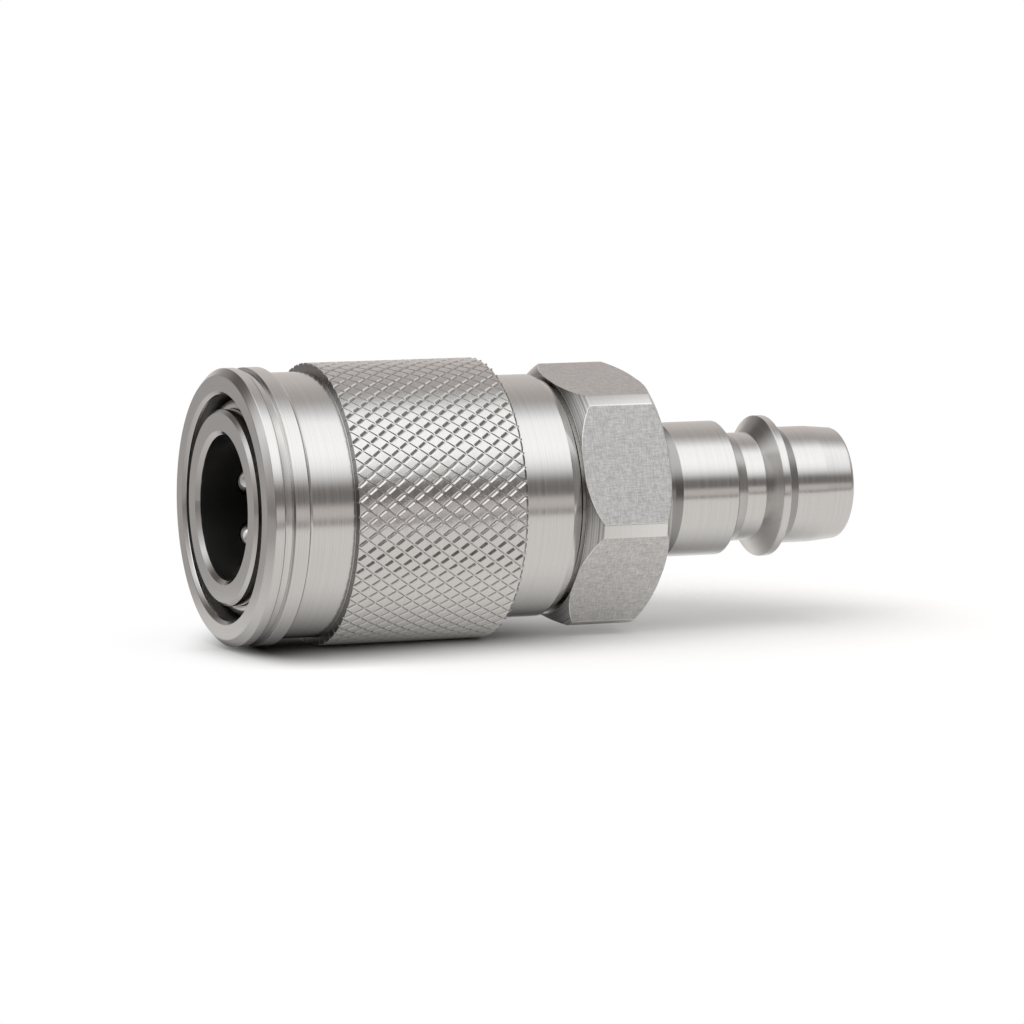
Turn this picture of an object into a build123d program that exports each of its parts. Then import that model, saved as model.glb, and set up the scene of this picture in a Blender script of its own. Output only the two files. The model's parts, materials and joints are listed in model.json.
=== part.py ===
from build123d import *
import os
from math import cos, radians, sin, sqrt

os.makedirs("parts", exist_ok=True)

# Air hose coupler: a quick-release socket with a ball lock at one end and a plug at the other.
# The axis is X. The mouth is at X = 0, the plug points to +X and +Z is up. Millimetres.

# Clearances
slide_gap = 0.05
fit_gap = 0.05
land_gap = 0.08
ball_gap = 0.06
rest_gap = 0.10
lip_gap = 0.27

# Plug profile that the socket takes, which is also the profile of its own plug
collar_r = 6.0
collar_width = 0.65
plug_nose_r = 4.95
plug_tip_r = 4.75
plug_bore_r = 3.7
neck_r = 4.6
shank_r = 5.7
relief_r = 5.45
relief_length = 2.35
relief_slope = 0.6
shank_length = 8.2
shank_edge = 0.15
neck_ramp = 1.2
neck_rise = 0.4
neck_length = 2.9
flank_length = 1.05
collar_back = 0.35
collar_ramp = 0.79
nose_rise = 0.28
nose_straight = 2.76
nose_length = 6.53
tip_edge_r = 0.35
tip_bore_chamfer = 0.2

# Locking balls
ball_count = 8
ball_r = 1.5
ball_x = 5.0
ball_grip = 0.90
ball_release = 0.05
ball_phase = 15
hole_gap = 0.06
hole_lip_r = 1.42
hole_undercut = 0.25
sleeve_travel = 4.0

# Nose of the socket body
mouth_chamfer = 0.35
nose_chamfer = 0.28
mouth_behind_balls = 3.6
throat_length = 2.3
throat_gap = 0.10
throat_chamfer = 0.5
seal_pocket_depth = 1.55
seal_room = 1.7
ring_x = 1.97
ring_wire_r = 0.7
ring_proud = 0.25
ring_side_gap = 0.05
ring_split = 14
ring_split_place = 180

# Valve
seat_ring_length = 3.9
seat_ring_rim = 0.25
chamber_step = 0.25
chamber_depth = 0.9
snout_r = 4.5
snout_bore_r = 3.4
snout_front = 0.7
port_r = 1.1
port_count = 4
port_back = 2.6
port_past = 0.3
head_gap = 0.6
head_thickness = 1.5
stem_r = 1.6
stem_past_hub = 1.0
poppet_seal_wire_r = 0.6
valve_spring_length = 6.65
valve_spring_wire_r = 0.3
valve_spring_r = 2.5
valve_spring_turns = 5
nose_seal_wire_r = 0.78
nose_seal_bite = 0.15

# Valve guide
guide_flange = 1.6
cup_depth = 2.9
cup_wall = 0.8
cup_bore_r = 4.8
cup_floor = 1.2
vent_r = 0.8
vent_circle_r = 3.85
vent_count = 6

# Rear of the socket body and the threaded boss in it
thread_step = 0.9
boss_length = 4.68
boss_edge = 0.4
boss_relief_r = 7.9
boss_relief_length = 1.1
seal_groove_back = 0.9
seal_groove_width = 1.4
body_seal_wire_r = 0.5
tail_wall = 0.8
tail_length = 0.3
tail_step = 0.67
guide_chamfer = 0.8
guide_spare = 0.65

# Sleeve
land_behind_balls = 2.5
spring_room = 2.05
sleeve_spring_length = 8.5
sleeve_spring_wire_r = 0.45
sleeve_spring_turns = 4
sleeve_wall = 1.5
lip_chamfer = 0.3
band_drop = 0.2
plain_drop = 0.7
face_drop = 0.6
face_chamfer = 0.55
first_band = 0.78
notch_edge = 0.14
notch_length = 0.86
notch_depth = 0.28
notch_wall = 0.07
second_band = 1.25
front_plain = 3.69
knurl_lead = 0.07
rear_bevel = 0.3

# Hexagon
hex_flats = 20.0
hex_length = 7.8
hex_turned = 0.3
hex_chamfer = 1.2
hex_back_chamfer = 0.9
hex_crown_r = 6.0
hex_tilt = 19

# Radii that follow from the plug
mouth_r = collar_r + slide_gap
throat_r = plug_nose_r + throat_gap
ball_seat_r = mouth_r - ball_grip + ball_r
ball_retract = ball_grip + ball_release
nose_r = ball_seat_r + ball_r
land_r = nose_r + land_gap
guide_r = nose_r + spring_room
sleeve_bore_r = guide_r + slide_gap
knurl_r = sleeve_bore_r + sleeve_wall
band_r = knurl_r - band_drop
plain_r = knurl_r - plain_drop
face_r = band_r - face_drop
pocket_r = throat_r + seal_pocket_depth
chamber_r = pocket_r + chamber_depth
head_r = chamber_r - head_gap
thread_r = chamber_r + thread_step
tail_r = thread_r + tail_wall
ring_mean_r = nose_r + ring_proud
ring_floor_r = ring_mean_r - ring_wire_r - ring_side_gap
lip_r = ring_mean_r + ring_wire_r + lip_gap

# Places along the axis, from the mouth to the plug
mouth_end = ball_x + mouth_behind_balls
pocket_x = mouth_end + throat_length
seat_front = pocket_x + seal_room
seat_rear = seat_front + seat_ring_length
chamber_x = seat_rear + chamber_step
seat_cone_r = pocket_r - fit_gap - seat_ring_rim
poppet_seal_r = snout_r + poppet_seal_wire_r + rest_gap
poppet_seal_off = (poppet_seal_wire_r + fit_gap) * sqrt(2)
poppet_seal_x = seat_rear - seat_cone_r + poppet_seal_r + poppet_seal_off
head_front = poppet_seal_x + poppet_seal_wire_r + fit_gap
head_rear = head_front + head_thickness
cup_floor_x = head_rear + valve_spring_length
cup_end = cup_floor_x + cup_floor
guide_front = cup_floor_x - cup_depth
boss_front = guide_front + guide_flange + fit_gap
hex_front = boss_front + boss_length
hex_rear = hex_front + hex_length
body_end = hex_front - fit_gap
tail_x = body_end - tail_length
guide_end = tail_x - guide_chamfer
sleeve_end = guide_end - guide_spare - sleeve_travel
land_end = ball_x + land_behind_balls
shoulder_x = land_end + sleeve_spring_length

# Sleeve ramp that lets the balls move outwards as the sleeve slides back
ball_slope = ball_retract / sleeve_travel
ramp_r = ball_seat_r + ball_x * ball_slope + (ball_r + ball_gap) * sqrt(1 + ball_slope**2)
step_sum = ring_x + ring_mean_r + (ring_wire_r + rest_gap) * sqrt(2)
step_x = step_sum - lip_r
ramp_x = (step_sum - ramp_r) / (1 - ball_slope)
ramp_end = (ramp_r - land_r) / ball_slope


def spoke_plane(x, angle):
    """Plane through the axis at x, with its Y direction pointing outwards at the angle."""
    turn = radians(angle)
    return Plane(origin=(x, 0, 0), x_dir=(1, 0, 0), z_dir=(0, -sin(turn), cos(turn)))


# Locking sleeve, one turned piece with the knurled grip
with BuildPart() as locking_sleeve:
    with BuildSketch(Plane.XY):
        with BuildLine():
            notch_x = face_chamfer + first_band
            notch_end = notch_x + notch_length + notch_wall
            step_back_x = notch_end + second_band
            step_down = band_r - plain_r
            plain_x = step_back_x + step_down
            knurl_x = plain_x + front_plain
            RadiusArc((plain_x, plain_r), (step_back_x, band_r), step_down)
            Polyline(
                (step_back_x, band_r),
                (notch_end, band_r),
                (notch_x + notch_length, band_r - notch_depth),
                (notch_x + notch_edge, band_r - notch_edge),
                (notch_x, band_r),
                (face_chamfer, band_r),
                (0, face_r),
                (0, lip_r + lip_chamfer),
                (lip_chamfer, lip_r),
                (step_x, lip_r),
                (ramp_x, step_sum - ramp_x),
                (ramp_end, land_r),
                (land_end, land_r),
                (land_end, sleeve_bore_r),
                (sleeve_end, sleeve_bore_r),
                (sleeve_end, knurl_r - rear_bevel),
                (sleeve_end - rear_bevel, knurl_r),
                (knurl_x + knurl_lead, knurl_r),
                (knurl_x, plain_r),
                (plain_x, plain_r),
            )
        make_face()
    revolve(axis=Axis.X)
locking_sleeve.part.label = "locking_sleeve"
export_step(locking_sleeve.part, "parts/locking_sleeve.step")

# Socket body with the ball holes, the snap ring groove and the thread for the adapter
ring_groove_half = ring_wire_r + ring_side_gap
with BuildPart() as socket_body:
    with BuildSketch(Plane.XY):
        with BuildLine():
            Polyline(
                (0, mouth_r + mouth_chamfer),
                (0, nose_r - nose_chamfer),
                (nose_chamfer, nose_r),
                (ring_x - ring_groove_half, nose_r),
                (ring_x - ring_groove_half, ring_floor_r),
                (ring_x + ring_groove_half, ring_floor_r),
                (ring_x + ring_groove_half, nose_r),
                (shoulder_x, nose_r),
                (shoulder_x, guide_r),
                (guide_end, guide_r),
                (tail_x, tail_r + tail_step),
                (tail_x, tail_r),
                (body_end, tail_r),
                (body_end, thread_r),
                (guide_front - fit_gap, thread_r),
                (guide_front - fit_gap, chamber_r),
                (chamber_x, chamber_r),
                (chamber_x, pocket_r),
                (pocket_x, pocket_r),
                (pocket_x, throat_r),
                (mouth_end + throat_chamfer, throat_r),
                (mouth_end, throat_r + throat_chamfer),
                (mouth_end, mouth_r),
                (mouth_chamfer, mouth_r),
                close=True,
            )
        make_face()
    revolve(axis=Axis.X)
    for number in range(ball_count):
        hole_angle = ball_phase + number * 360 / ball_count
        hole_plane = spoke_plane(ball_x, hole_angle)
        with BuildSketch(hole_plane):
            with BuildLine():
                Polyline(
                    (0, mouth_r - hole_undercut),
                    (hole_lip_r, mouth_r - hole_undercut),
                    (ball_r + hole_gap, ball_seat_r),
                    (ball_r + hole_gap, nose_r + ball_r),
                    (0, nose_r + ball_r),
                    close=True,
                )
            make_face()
        revolve(axis=Axis(hole_plane.origin, hole_plane.y_dir), mode=Mode.SUBTRACT)
socket_body.part.label = "socket_body"
export_step(socket_body.part, "parts/socket_body.step")

# Locking balls, one in each hole
for number in range(ball_count):
    ball_plane = spoke_plane(ball_x, ball_phase + number * 360 / ball_count)
    ball_name = f"locking_ball_{number + 1}"
    with BuildPart() as locking_ball:
        with Locations(ball_plane.origin + ball_plane.y_dir * ball_seat_r):
            Sphere(ball_r)
    locking_ball.part.label = ball_name
    export_step(locking_ball.part, f"parts/{ball_name}.step")

# Snap ring of round wire that holds the sleeve on the nose
with BuildPart() as sleeve_snap_ring:
    with BuildSketch(spoke_plane(ring_x, ring_split_place + ring_split / 2)):
        with Locations((0, ring_mean_r)):
            Circle(ring_wire_r)
    revolve(axis=Axis.X, revolution_arc=360 - ring_split)
sleeve_snap_ring.part.label = "sleeve_snap_ring"
export_step(sleeve_snap_ring.part, "parts/sleeve_snap_ring.step")


def coil_spring(start_x, end_x, coil_r, wire_r, turns):
    """Compression spring between two faces, with the wire's ends against them."""
    height = end_x - start_x - 2 * (wire_r + fit_gap)
    with BuildPart() as spring:
        with BuildLine():
            coil = Helix(
                pitch=height / turns,
                height=height,
                radius=coil_r,
                center=(start_x + wire_r + fit_gap, 0, 0),
                direction=(1, 0, 0),
            )
        with BuildSketch(Plane(origin=coil @ 0, z_dir=coil % 0)):
            Circle(wire_r)
        sweep(path=coil, is_frenet=True)
    return spring


# Spring that pushes the sleeve forwards against the snap ring
sleeve_spring = coil_spring(
    land_end,
    shoulder_x,
    (nose_r + sleeve_bore_r) / 2,
    sleeve_spring_wire_r,
    sleeve_spring_turns,
)
sleeve_spring.part.label = "sleeve_spring"
export_step(sleeve_spring.part, "parts/sleeve_spring.step")

# Seal round the inserted plug's nose, held in its pocket by the seat ring
nose_seal_mean_r = throat_r - throat_gap - nose_seal_bite + nose_seal_wire_r
with BuildPart() as nose_seal:
    with BuildSketch(Plane.XY):
        with Locations((pocket_x + seal_room / 2, nose_seal_mean_r)):
            Circle(nose_seal_wire_r)
    revolve(axis=Axis.X)
nose_seal.part.label = "nose_seal"
export_step(nose_seal.part, "parts/nose_seal.step")

# Seat ring with the cone that the valve closes on
with BuildPart() as seat_ring:
    with BuildSketch(Plane.XY):
        with BuildLine():
            Polyline(
                (seat_front, throat_r),
                (seat_front, pocket_r - fit_gap),
                (seat_rear, pocket_r - fit_gap),
                (seat_rear, seat_cone_r),
                (seat_rear - seat_cone_r + throat_r, throat_r),
                close=True,
            )
        make_face()
    revolve(axis=Axis.X)
seat_ring.part.label = "seat_ring"
export_step(seat_ring.part, "parts/seat_ring.step")

# Valve poppet: a ported snout that the plug pushes, a head and a guided stem
snout_x = pocket_x + snout_front
port_x = head_front - port_back
with BuildPart() as valve_poppet:
    with BuildSketch(Plane.XY):
        with BuildLine():
            Polyline(
                (snout_x, snout_bore_r),
                (snout_x, snout_r),
                (head_front, snout_r),
                (head_front, head_r),
                (head_rear, head_r),
                (head_rear, stem_r),
                (cup_end + stem_past_hub, stem_r),
                (cup_end + stem_past_hub, 0),
                (port_x + port_r + port_past + snout_bore_r / 2, 0),
                (port_x + port_r + port_past, snout_bore_r),
                close=True,
            )
        make_face()
    revolve(axis=Axis.X)
    for number in range(port_count):
        port_plane = spoke_plane(port_x, number * 360 / port_count)
        with BuildSketch(Plane(origin=port_plane.origin, z_dir=port_plane.y_dir)):
            Circle(port_r)
        extrude(amount=snout_r + port_r, mode=Mode.SUBTRACT)
valve_poppet.part.label = "valve_poppet"
export_step(valve_poppet.part, "parts/valve_poppet.step")

# Seal between the poppet's head and the seat cone
with BuildPart() as poppet_seal:
    with BuildSketch(Plane.XY):
        with Locations((poppet_seal_x, poppet_seal_r)):
            Circle(poppet_seal_wire_r)
    revolve(axis=Axis.X)
poppet_seal.part.label = "poppet_seal"
export_step(poppet_seal.part, "parts/poppet_seal.step")

# Valve spring between the poppet's head and the guide cup
valve_spring = coil_spring(
    head_rear, cup_floor_x, valve_spring_r, valve_spring_wire_r, valve_spring_turns
)
valve_spring.part.label = "valve_spring"
export_step(valve_spring.part, "parts/valve_spring.step")

# Valve guide: a flanged cup with vents round the hub that the stem slides in
with BuildPart() as valve_guide:
    with BuildSketch(Plane.XY):
        with BuildLine():
            Polyline(
                (guide_front, cup_bore_r),
                (guide_front, thread_r - fit_gap),
                (guide_front + guide_flange, thread_r - fit_gap),
                (guide_front + guide_flange, cup_bore_r + cup_wall),
                (cup_end, cup_bore_r + cup_wall),
                (cup_end, stem_r + slide_gap),
                (cup_floor_x, stem_r + slide_gap),
                (cup_floor_x, cup_bore_r),
                close=True,
            )
        make_face()
    revolve(axis=Axis.X)
    with BuildSketch(Plane.YZ.offset(cup_floor_x)):
        with PolarLocations(vent_circle_r, vent_count):
            Circle(vent_r)
    extrude(amount=cup_floor, mode=Mode.SUBTRACT)
valve_guide.part.label = "valve_guide"
export_step(valve_guide.part, "parts/valve_guide.step")

# Plug adapter: the threaded boss, the hexagon and the plug in one turned piece
hex_corner_r = hex_flats / sqrt(3) - hex_turned
seal_groove_x = boss_front + seal_groove_back
seal_groove_r = thread_r - 2 * (body_seal_wire_r + fit_gap)
boss_r = thread_r - fit_gap
shank_end = hex_rear + shank_length
neck_end = shank_end + neck_length
collar_x = neck_end + flank_length
collar_end = collar_x + collar_width
nose_x = collar_end + collar_back + collar_ramp
tip_x = collar_end + nose_length
counterbore_r = cup_bore_r + cup_wall + rest_gap
counterbore_end = cup_end + 2 * rest_gap
with BuildPart() as plug_adapter:
    with BuildSketch(Plane.YZ.offset(hex_front)):
        RegularPolygon(hex_flats / 2, 6, major_radius=False, rotation=30 - hex_tilt)
    extrude(amount=hex_length)
    with BuildSketch(Plane.XY):
        with BuildLine():
            Polyline(
                (hex_rear, hex_corner_r - hex_chamfer),
                (hex_rear, 0),
                (hex_front, 0),
                (hex_front, hex_corner_r - hex_chamfer),
            )
            RadiusArc(
                (hex_front, hex_corner_r - hex_chamfer),
                (hex_front + hex_chamfer, hex_corner_r),
                hex_crown_r,
            )
            Line(
                (hex_front + hex_chamfer, hex_corner_r),
                (hex_rear - hex_back_chamfer, hex_corner_r),
            )
            RadiusArc(
                (hex_rear - hex_back_chamfer, hex_corner_r),
                (hex_rear, hex_corner_r - hex_chamfer),
                hex_crown_r,
            )
        make_face()
    revolve(axis=Axis.X, mode=Mode.INTERSECT)
    with BuildSketch(Plane.XY):
        with BuildLine():
            Polyline(
                (boss_front, 0),
                (boss_front, boss_r - boss_edge),
                (boss_front + boss_edge, boss_r),
                (seal_groove_x, boss_r),
                (seal_groove_x, seal_groove_r),
                (seal_groove_x + seal_groove_width, seal_groove_r),
                (seal_groove_x + seal_groove_width, boss_r),
                (hex_front - boss_relief_length, boss_r),
                (hex_front - boss_relief_length, boss_relief_r),
                (hex_front, boss_relief_r),
                (hex_front, 0),
                close=True,
            )
        make_face()
        with BuildLine():
            Polyline(
                (hex_rear, 0),
                (hex_rear, relief_r),
                (hex_rear + relief_length, relief_r),
                (hex_rear + relief_length + relief_slope, shank_r),
                (shank_end - shank_edge, shank_r),
                (shank_end, shank_r - shank_edge),
                (shank_end, neck_r + neck_rise),
                (shank_end + neck_ramp, neck_r),
                (neck_end, neck_r),
                (collar_x, collar_r),
                (collar_end, collar_r),
                (collar_end + collar_back, plug_nose_r + nose_rise),
                (nose_x, plug_nose_r),
                (nose_x + nose_straight, plug_nose_r),
                (tip_x - tip_edge_r, plug_tip_r),
            )
            RadiusArc(
                (tip_x - tip_edge_r, plug_tip_r),
                (tip_x, plug_tip_r - tip_edge_r),
                tip_edge_r,
            )
            Polyline(
                (tip_x, plug_tip_r - tip_edge_r),
                (tip_x, 0),
                (hex_rear, 0),
            )
        make_face()
    revolve(axis=Axis.X)
    with BuildSketch(Plane.XY):
        with BuildLine():
            Polyline(
                (boss_front, 0),
                (boss_front, counterbore_r),
                (counterbore_end, counterbore_r),
                (counterbore_end + counterbore_r - plug_bore_r, plug_bore_r),
                (tip_x - tip_bore_chamfer, plug_bore_r),
                (tip_x, plug_bore_r + tip_bore_chamfer),
                (tip_x, 0),
                close=True,
            )
        make_face()
    revolve(axis=Axis.X, mode=Mode.SUBTRACT)
plug_adapter.part.label = "plug_adapter"
export_step(plug_adapter.part, "parts/plug_adapter.step")

# Seal in the boss's groove, between the boss and the socket body
with BuildPart() as body_seal:
    with BuildSketch(Plane.XY):
        with Locations((seal_groove_x + seal_groove_width / 2, thread_r - fit_gap - body_seal_wire_r)):
            Circle(body_seal_wire_r)
    revolve(axis=Axis.X)
body_seal.part.label = "body_seal"
export_step(body_seal.part, "parts/body_seal.step")
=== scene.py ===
import json
from math import cos, hypot, pi, radians, sin

import bpy
from mathutils import Matrix, Vector


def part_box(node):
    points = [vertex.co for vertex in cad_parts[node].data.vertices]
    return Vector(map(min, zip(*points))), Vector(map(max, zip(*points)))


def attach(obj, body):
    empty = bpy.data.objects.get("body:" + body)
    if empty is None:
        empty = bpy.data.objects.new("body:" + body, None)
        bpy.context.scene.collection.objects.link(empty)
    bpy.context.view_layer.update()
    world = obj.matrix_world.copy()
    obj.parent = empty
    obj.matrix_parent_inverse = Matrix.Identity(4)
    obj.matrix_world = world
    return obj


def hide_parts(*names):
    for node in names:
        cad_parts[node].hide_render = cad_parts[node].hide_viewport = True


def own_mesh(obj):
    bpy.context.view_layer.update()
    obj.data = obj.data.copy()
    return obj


bl_info = {
    "name": "Air hose coupler",
    "version": (1, 0, 0),
    "blender": (4, 5, 0),
    "location": "3D View > Sidebar > Coupler",
    "description": "Makes the knurled sleeve, the springs and the finishes of a coupler",
    "category": "Object",
}

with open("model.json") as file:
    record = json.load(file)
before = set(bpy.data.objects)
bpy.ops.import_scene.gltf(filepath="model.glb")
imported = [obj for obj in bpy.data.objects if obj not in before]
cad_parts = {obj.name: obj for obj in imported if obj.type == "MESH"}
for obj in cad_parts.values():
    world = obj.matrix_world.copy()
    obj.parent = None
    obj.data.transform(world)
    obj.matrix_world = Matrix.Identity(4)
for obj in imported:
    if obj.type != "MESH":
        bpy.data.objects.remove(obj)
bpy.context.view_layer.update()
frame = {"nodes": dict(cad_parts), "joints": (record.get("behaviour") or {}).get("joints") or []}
MM = 0.001
# Length of a sharp change, and the distance within which two points are one
HAIR = 0.01 * MM
NEAR = 0.001 * MM


def side(node, end, axis=0):
    """Place of a CAD node's lower end, 0, or upper end, 1, along an axis."""
    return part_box(node)[end][axis]


# Sizes and colours


def length(title, text, default):
    """Size in metres that a user may change."""
    return bpy.props.FloatProperty(
        name=title,
        description=text,
        default=default,
        min=0.0,
        precision=5,
        subtype="DISTANCE",
        unit="LENGTH",
    )


def count(title, text, default):
    """Whole number that a user may change."""
    return bpy.props.IntProperty(name=title, description=text, default=default, min=1)


def share(title, text, default):
    """Number from nothing to one that a user may change."""
    return bpy.props.FloatProperty(
        name=title,
        description=text,
        default=default,
        min=0.0,
        max=1.0,
        subtype="FACTOR",
    )


def colour(title, text, default):
    """Colour that a user may change."""
    return bpy.props.FloatVectorProperty(
        name=title,
        description=text,
        default=default,
        min=0.0,
        max=1.0,
        size=3,
        subtype="COLOR",
    )


class SleeveSizes(bpy.types.PropertyGroup):
    """Sizes of the locking sleeve."""

    end: length("Length", "Length of the sleeve", side("locking_sleeve", 1))
    grip: length("Grip radius", "Radius over the knurl", side("locking_sleeve", 1, 1))
    band: length("Band radius", "Radius of the two bands at the front", 11.55 * MM)
    face: length("Face radius", "Outer radius of the front face", 10.95 * MM)
    plain: length("Plain radius", "Radius of the plain part", 11.05 * MM)
    core: length("Core depth", "Depth of the turned core below the knurl", 0.5 * MM)
    chamfer: length("Chamfer", "Length of the chamfer at the face", 0.55 * MM)
    notch: length("Notch start", "Where the notch between the bands begins", 1.33 * MM)
    notch_end: length("Notch end", "Where the notch ends", 2.26 * MM)
    notch_ramp: length("Notch ramp", "Length of the notch's front wall", 0.14 * MM)
    notch_wall: length("Notch wall", "Length of the notch's rear wall", 0.07 * MM)
    notch_depth: length("Notch depth", "Depth at the notch's rear wall", 0.28 * MM)
    cove: length("Cove start", "Where the rear band falls away", 3.51 * MM)
    knurl_start: length("Knurl start", "Where the knurl begins", 7.7 * MM)
    lip: length("Lip radius", "Bore radius at the mouth", 9.37 * MM)
    lip_end: length("Lip end", "Where the bore of the mouth ends", 2.131 * MM)
    lip_chamfer: length("Lip chamfer", "Chamfer inside the mouth", 0.3 * MM)
    ramp: length("Ramp radius", "Bore radius where the ramp begins", 8.799 * MM)
    ramp_start: length("Ramp start", "Where the ramp over the balls begins", 2.702 * MM)
    land: length("Land radius", "Bore radius over the balls", 8.23 * MM)
    land_start: length("Land start", "Where the land over the balls begins", 5.099 * MM)
    bore: length("Bore radius", "Bore radius over the spring", 10.25 * MM)
    shoulder: length("Shoulder", "Where the spring rests on the sleeve", 7.5 * MM)
    edge: length("Edge radius", "Rounding of the turned edges", 0.05 * MM)
    segments: count("Segments", "Flat sides round the turned part", 168)


class KnurlSizes(bpy.types.PropertyGroup):
    """Sizes of the knurl."""

    around: count("Teeth round", "Teeth in one row round the sleeve", 60)
    pitch: length("Pitch", "Distance between teeth along the sleeve", 1.64 * MM)
    depth: length("Depth", "Depth of the grooves", 0.10 * MM)
    groove: length("Groove", "Half the width of a groove", 0.105 * MM)
    uneven: share("Uneven", "How much wider the rising grooves are", 0.13)
    root: length("Root", "Half the width of a groove's flat root", 0.02 * MM)
    crown: length("Crown", "Height of the rounded crest", 0.015 * MM)
    lead: length("Lead", "Length of the chamfer where the knurl begins", 0.07 * MM)
    bevel: length("Bevel", "Chamfer at the sleeve's rear edge", 0.3 * MM)


class SpringSizes(bpy.types.PropertyGroup):
    """Sizes of the two springs."""

    sleeve_wire: length("Sleeve spring wire", "Radius of the wire", 0.45 * MM)
    sleeve_turns: count("Sleeve spring turns", "Turns of the sleeve spring", 4)
    valve_wire: length("Valve spring wire", "Radius of the wire", 0.3 * MM)
    valve_turns: count("Valve spring turns", "Turns of the valve spring", 5)


class FinishColours(bpy.types.PropertyGroup):
    """Colours of the finishes."""

    steel: colour("Steel", "Turned stainless steel", (0.62, 0.61, 0.595))
    # The groove colour is painted shade in the knurl's grooves
    groove: colour("Groove", "Steel in the grooves of the knurl", (0.28, 0.27, 0.262))
    wire: colour("Wire", "Drawn spring wire", (0.55, 0.54, 0.52))
    ball: colour("Ball", "Polished bearing ball", (0.72, 0.71, 0.70))
    rubber: colour("Rubber", "Black seal rubber", (0.014, 0.014, 0.015))
    roughness: share("Roughness", "Roughness of the turned steel", 0.17)


class StageSettings(bpy.types.PropertyGroup):
    """Floor, light and camera."""

    floor: colour("Floor", "Pale floor", (0.94, 0.935, 0.93))
    ground: length("Floor depth", "Depth of the floor below the axis", 11.75 * MM)
    distance: length("Distance", "From the camera to the coupler", 0.55)


# Mesh steps


def fresh(name):
    """Names the piece that was just added and puts its place in its mesh."""
    piece = bpy.context.object
    piece.name = name
    piece.data.name = name
    bpy.ops.object.transform_apply(location=True, rotation=True, scale=True)
    return piece


def clear_choice():
    """Deselects everything, the CAD nodes too."""
    if bpy.context.object and bpy.context.object.mode == "EDIT":
        bpy.ops.object.mode_set(mode="OBJECT")
    bpy.ops.object.select_all(action="DESELECT")


def choose(piece, wanted):
    """Goes to edit mode with the points selected whose place is wanted."""
    bpy.ops.object.mode_set(mode="EDIT")
    bpy.ops.mesh.select_mode(type="VERT")
    bpy.ops.mesh.select_all(action="DESELECT")
    bpy.ops.object.mode_set(mode="OBJECT")
    for point in piece.data.vertices:
        point.select = wanted(point.co)
    bpy.ops.object.mode_set(mode="EDIT")


def narrow(factor):
    """Scales the selected points towards the coupler's axis."""
    bpy.ops.transform.resize(value=(1, factor, factor), center_override=(0, 0, 0))


def apply_modifier(piece, kind, **settings):
    """Adds a modifier with its settings and applies it."""
    modifier = piece.modifiers.new(kind.title(), kind)
    for name, value in settings.items():
        setattr(modifier, name, value)
    bpy.ops.object.modifier_apply(modifier=modifier.name)


def favour_large_faces(piece):
    """Keeps wide faces flat in the shading, so only the rounded edges blend."""
    for factor in (1 / MM, MM):
        choose(piece, lambda place: True)
        bpy.ops.transform.resize(value=(factor,) * 3, center_override=(0, 0, 0))
        bpy.ops.object.mode_set(mode="OBJECT")
        if factor > 1:
            apply_modifier(piece, "WEIGHTED_NORMAL", keep_sharp=True)


def turn(name, outline, segments):
    """Turned piece: a ring led along a closed outline of places and radii."""
    clear_choice()
    x, radius = outline[0]
    bpy.ops.mesh.primitive_circle_add(
        vertices=segments, radius=radius, location=(x, 0, 0), rotation=(0, pi / 2, 0)
    )
    piece = fresh(name)
    bpy.ops.object.mode_set(mode="EDIT")
    bpy.ops.mesh.select_all(action="SELECT")
    for next_x, next_radius in outline[1:] + outline[:1]:
        bpy.ops.mesh.extrude_region_move(
            TRANSFORM_OT_translate={"value": (next_x - x, 0, 0)}
        )
        narrow(next_radius / radius)
        x, radius = next_x, next_radius
    bpy.ops.mesh.select_all(action="SELECT")
    bpy.ops.mesh.remove_doubles(threshold=NEAR)
    bpy.ops.mesh.normals_make_consistent(inside=False)
    bpy.ops.object.mode_set(mode="OBJECT")
    return piece


# Locking sleeve


def turned_sleeve(sizes):
    """Turned body of the sleeve, below the teeth of the knurl."""
    core = sizes.grip - sizes.core
    covered = sizes.knurl_start + 0.1 * MM
    rear = sizes.end - 0.02 * MM
    step = sizes.band - sizes.plain
    chords = 7
    cove = [
        (sizes.cove + step * (1 - cos(turned)), sizes.band - step * sin(turned))
        for turned in (number * pi / 2 / chords for number in range(chords + 1))
    ]
    outline = [
        (0, sizes.face),
        (sizes.chamfer, sizes.band),
        (sizes.notch, sizes.band),
        (sizes.notch + sizes.notch_ramp, sizes.band - sizes.notch_ramp),
        (sizes.notch_end - sizes.notch_wall, sizes.band - sizes.notch_depth),
        (sizes.notch_end, sizes.band),
        *cove,
        (sizes.knurl_start, sizes.plain),
        (covered, core),
        (rear, core),
        (rear, sizes.bore),
        (sizes.shoulder, sizes.bore),
        (sizes.shoulder, sizes.land),
        (sizes.land_start, sizes.land),
        (sizes.ramp_start, sizes.ramp),
        (sizes.lip_end, sizes.lip),
        (sizes.lip_chamfer, sizes.lip),
        (0, sizes.lip + sizes.lip_chamfer),
    ]
    piece = turn("knurled_sleeve", outline, sizes.segments)
    apply_modifier(
        piece,
        "BEVEL",
        width=sizes.edge,
        segments=2,
        limit_method="ANGLE",
        angle_limit=radians(18),
    )
    return piece


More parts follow.
